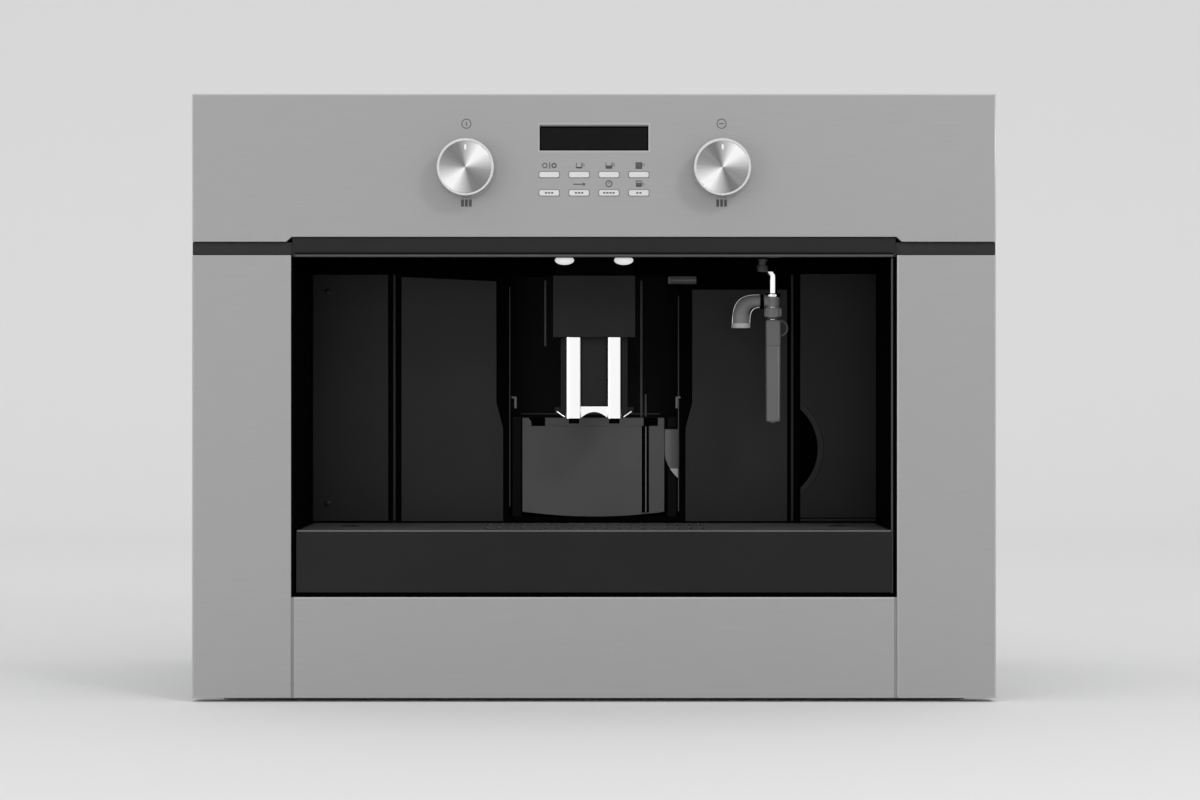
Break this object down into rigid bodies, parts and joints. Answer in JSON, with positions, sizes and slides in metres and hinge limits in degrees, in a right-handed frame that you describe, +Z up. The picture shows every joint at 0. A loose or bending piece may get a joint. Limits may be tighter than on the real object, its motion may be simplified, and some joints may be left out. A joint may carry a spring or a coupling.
{
  "type": "built-in coffee machine",
  "caption": "Built-in coffee machine with knobs, display, recess with adjustable spout, steam wand, drip tray and water tank, pulled out of its niche on rails.",
  "frame": {"origin": "middle of the base plate's underside, on the niche floor", "axes": "+Z up, the front looks along -Y, +X to the right seen from the front"},
  "size_m": [0.595, 0.4231, 0.45],
  "materials": {
    "front_steel": "fine satin brushing",
    "dark_trim": "dark satin lacquer",
    "liner_black": "moulded black, glossy",
    "back_panels": "moulded anthracite, glossy",
    "grey_plastic": "moulded grey, satin",
    "lid_plastic": "moulded, fine grain",
    "chrome": "polished",
    "knob_aluminium": "turned and anodised",
    "display_glass": "smoked pane",
    "zinc_steel": "zinc-plated sheet",
    "clear_plastic": "clear moulding",
    "lamp_lens": "frosted lens",
    "board_green": "solder resist",
    "works_plastic": "moulded",
    "works_alloy": "die cast"
  },
  "bodies": {
    "niche_base": {"base_plate": "zinc_steel", "rail_outer_left": "zinc_steel", "rail_outer_right": "zinc_steel"},
    "rail_middle": {"rail_middle_left": "zinc_steel", "rail_middle_right": "zinc_steel"},
    "machine": {"rail_inner_left": "zinc_steel", "rail_inner_right": "zinc_steel", "chassis_pan": "zinc_steel", "casing": "zinc_steel", "inner_deck": "zinc_steel", "top_cover": "zinc_steel", "control_panel": "front_steel", "visor": "dark_trim", "side_trim_left": "front_steel", "side_trim_right": "front_steel", "lower_panel": "front_steel", "recess_liner": "liner_black", "left_cover": "back_panels", "tank_sill": "back_panels", "centre_panel": "back_panels", "chute_collar": "grey_plastic", "spout_housing": "back_panels", "lamp_left": "lamp_lens", "lamp_right": "lamp_lens", "display_window": "display_glass", "control_board": "board_green", "wand_socket": "works_plastic", "bean_hopper": "clear_plastic", "grinder": "works_alloy", "brew_unit": "works_plastic", "pump": "works_plastic", "thermoblock": "works_alloy", "power_board": "board_green", "power_inlet": "liner_black"},
    "knob_left": {"knob_left": "knob_aluminium"},
    "knob_right": {"knob_right": "knob_aluminium"},
    "spout": {"spout_body": "back_panels", "spout_pipes": "chrome"},
    "grounds_container": {"grounds_container": "grey_plastic", "container_grip": "grey_plastic"},
    "drip_tray": {"drip_tray": "dark_trim"},
    "tray_grille": {"tray_grille": "dark_trim"},
    "tray_float": {"tray_float": "lamp_lens"},
    "water_tank": {"water_tank": "clear_plastic", "tank_front": "back_panels"},
    "wand": {"wand_pipe": "chrome", "wand_handle": "grey_plastic"},
    "wand_sleeve": {"wand_sleeve": "grey_plastic"},
    "bean_lid": {"bean_lid": "lid_plastic"},
    "release_tab": {"release_tab": "grey_plastic"},
    "button_1": {"button_1": "knob_aluminium"},
    "button_2": {"button_2": "knob_aluminium"},
    "button_3": {"button_3": "knob_aluminium"},
    "button_4": {"button_4": "knob_aluminium"},
    "button_5": {"button_5": "knob_aluminium"},
    "button_6": {"button_6": "knob_aluminium"},
    "button_7": {"button_7": "knob_aluminium"},
    "button_8": {"button_8": "knob_aluminium"}
  },
  "joints": [
    {"name": "machine_slide", "type": "slide", "parent": "niche_base", "child": "machine", "axis": [0, -1, 0], "range_m": [0, 0.26]},
    {"name": "rail_slide", "type": "slide", "parent": "niche_base", "child": "rail_middle", "axis": [0, -1, 0], "range_m": [0, 0.13]},
    {"name": "knob_left_turn", "type": "hinge", "parent": "machine", "child": "knob_left", "pos_m": [-0.0944, -0.211, 0.3944], "axis": [0, 1, 0], "range_deg": [-150, 150]},
    {"name": "knob_right_turn", "type": "hinge", "parent": "machine", "child": "knob_right", "pos_m": [0.0944, -0.211, 0.3944], "axis": [0, 1, 0], "range_deg": [-150, 150]},
    {"name": "button_1_press", "type": "slide", "parent": "machine", "child": "button_1", "axis": [0, 1, 0], "range_m": [0, 0.0008], "stiffness_N_per_m": 900},
    {"name": "button_2_press", "type": "slide", "parent": "machine", "child": "button_2", "axis": [0, 1, 0], "range_m": [0, 0.0008], "stiffness_N_per_m": 900},
    {"name": "button_3_press", "type": "slide", "parent": "machine", "child": "button_3", "axis": [0, 1, 0], "range_m": [0, 0.0008], "stiffness_N_per_m": 900},
    {"name": "button_4_press", "type": "slide", "parent": "machine", "child": "button_4", "axis": [0, 1, 0], "range_m": [0, 0.0008], "stiffness_N_per_m": 900},
    {"name": "button_5_press", "type": "slide", "parent": "machine", "child": "button_5", "axis": [0, 1, 0], "range_m": [0, 0.0008], "stiffness_N_per_m": 900},
    {"name": "button_6_press", "type": "slide", "parent": "machine", "child": "button_6", "axis": [0, 1, 0], "range_m": [0, 0.0008], "stiffness_N_per_m": 900},
    {"name": "button_7_press", "type": "slide", "parent": "machine", "child": "button_7", "axis": [0, 1, 0], "range_m": [0, 0.0008], "stiffness_N_per_m": 900},
    {"name": "button_8_press", "type": "slide", "parent": "machine", "child": "button_8", "axis": [0, 1, 0], "range_m": [0, 0.0008], "stiffness_N_per_m": 900},
    {"name": "spout_height", "type": "slide", "parent": "machine", "child": "spout", "axis": [0, 0, 1], "range_m": [0, 0.05]},
    {"name": "grounds_container_pull", "type": "slide", "parent": "machine", "child": "grounds_container", "axis": [0, -1, 0], "range_m": [0, 0.295]},
    {"name": "drip_tray_pull", "type": "slide", "parent": "machine", "child": "drip_tray", "axis": [0, -1, 0], "range_m": [0, 0.15]},
    {"name": "tray_grille_lift", "type": "slide", "parent": "drip_tray", "child": "tray_grille", "axis": [0, 0, 1], "range_m": [0, 0.0034]},
    {"name": "tray_float_rise", "type": "slide", "parent": "drip_tray", "child": "tray_float", "axis": [0, 0, 1], "range_m": [0, 0.008]},
    {"name": "water_tank_pull", "type": "slide", "parent": "machine", "child": "water_tank", "axis": [0, -1, 0], "range_m": [0, 0.345]},
    {"name": "wand_swing", "type": "hinge", "parent": "machine", "child": "wand", "pos_m": [0.129, -0.136, 0.3405], "axis": [-1, 0, 0], "range_deg": [0, 35]},
    {"name": "wand_sleeve_pull", "type": "slide", "parent": "wand", "child": "wand_sleeve", "axis": [0, 0, -1], "range_m": [0, 0.062]},
    {"name": "bean_lid_open", "type": "hinge", "parent": "machine", "child": "bean_lid", "pos_m": [-0.135, 0.122, 0.4434], "axis": [-1, 0, 0], "range_deg": [0, 80]},
    {"name": "release_tab_press", "type": "slide", "parent": "machine", "child": "release_tab", "axis": [0, 1, 0], "range_m": [0, 0.0016], "stiffness_N_per_m": 600}
  ],
  "couplings": [
    {"joint": "rail_slide", "follows": "machine_slide", "ratio": 0.5}
  ]
}
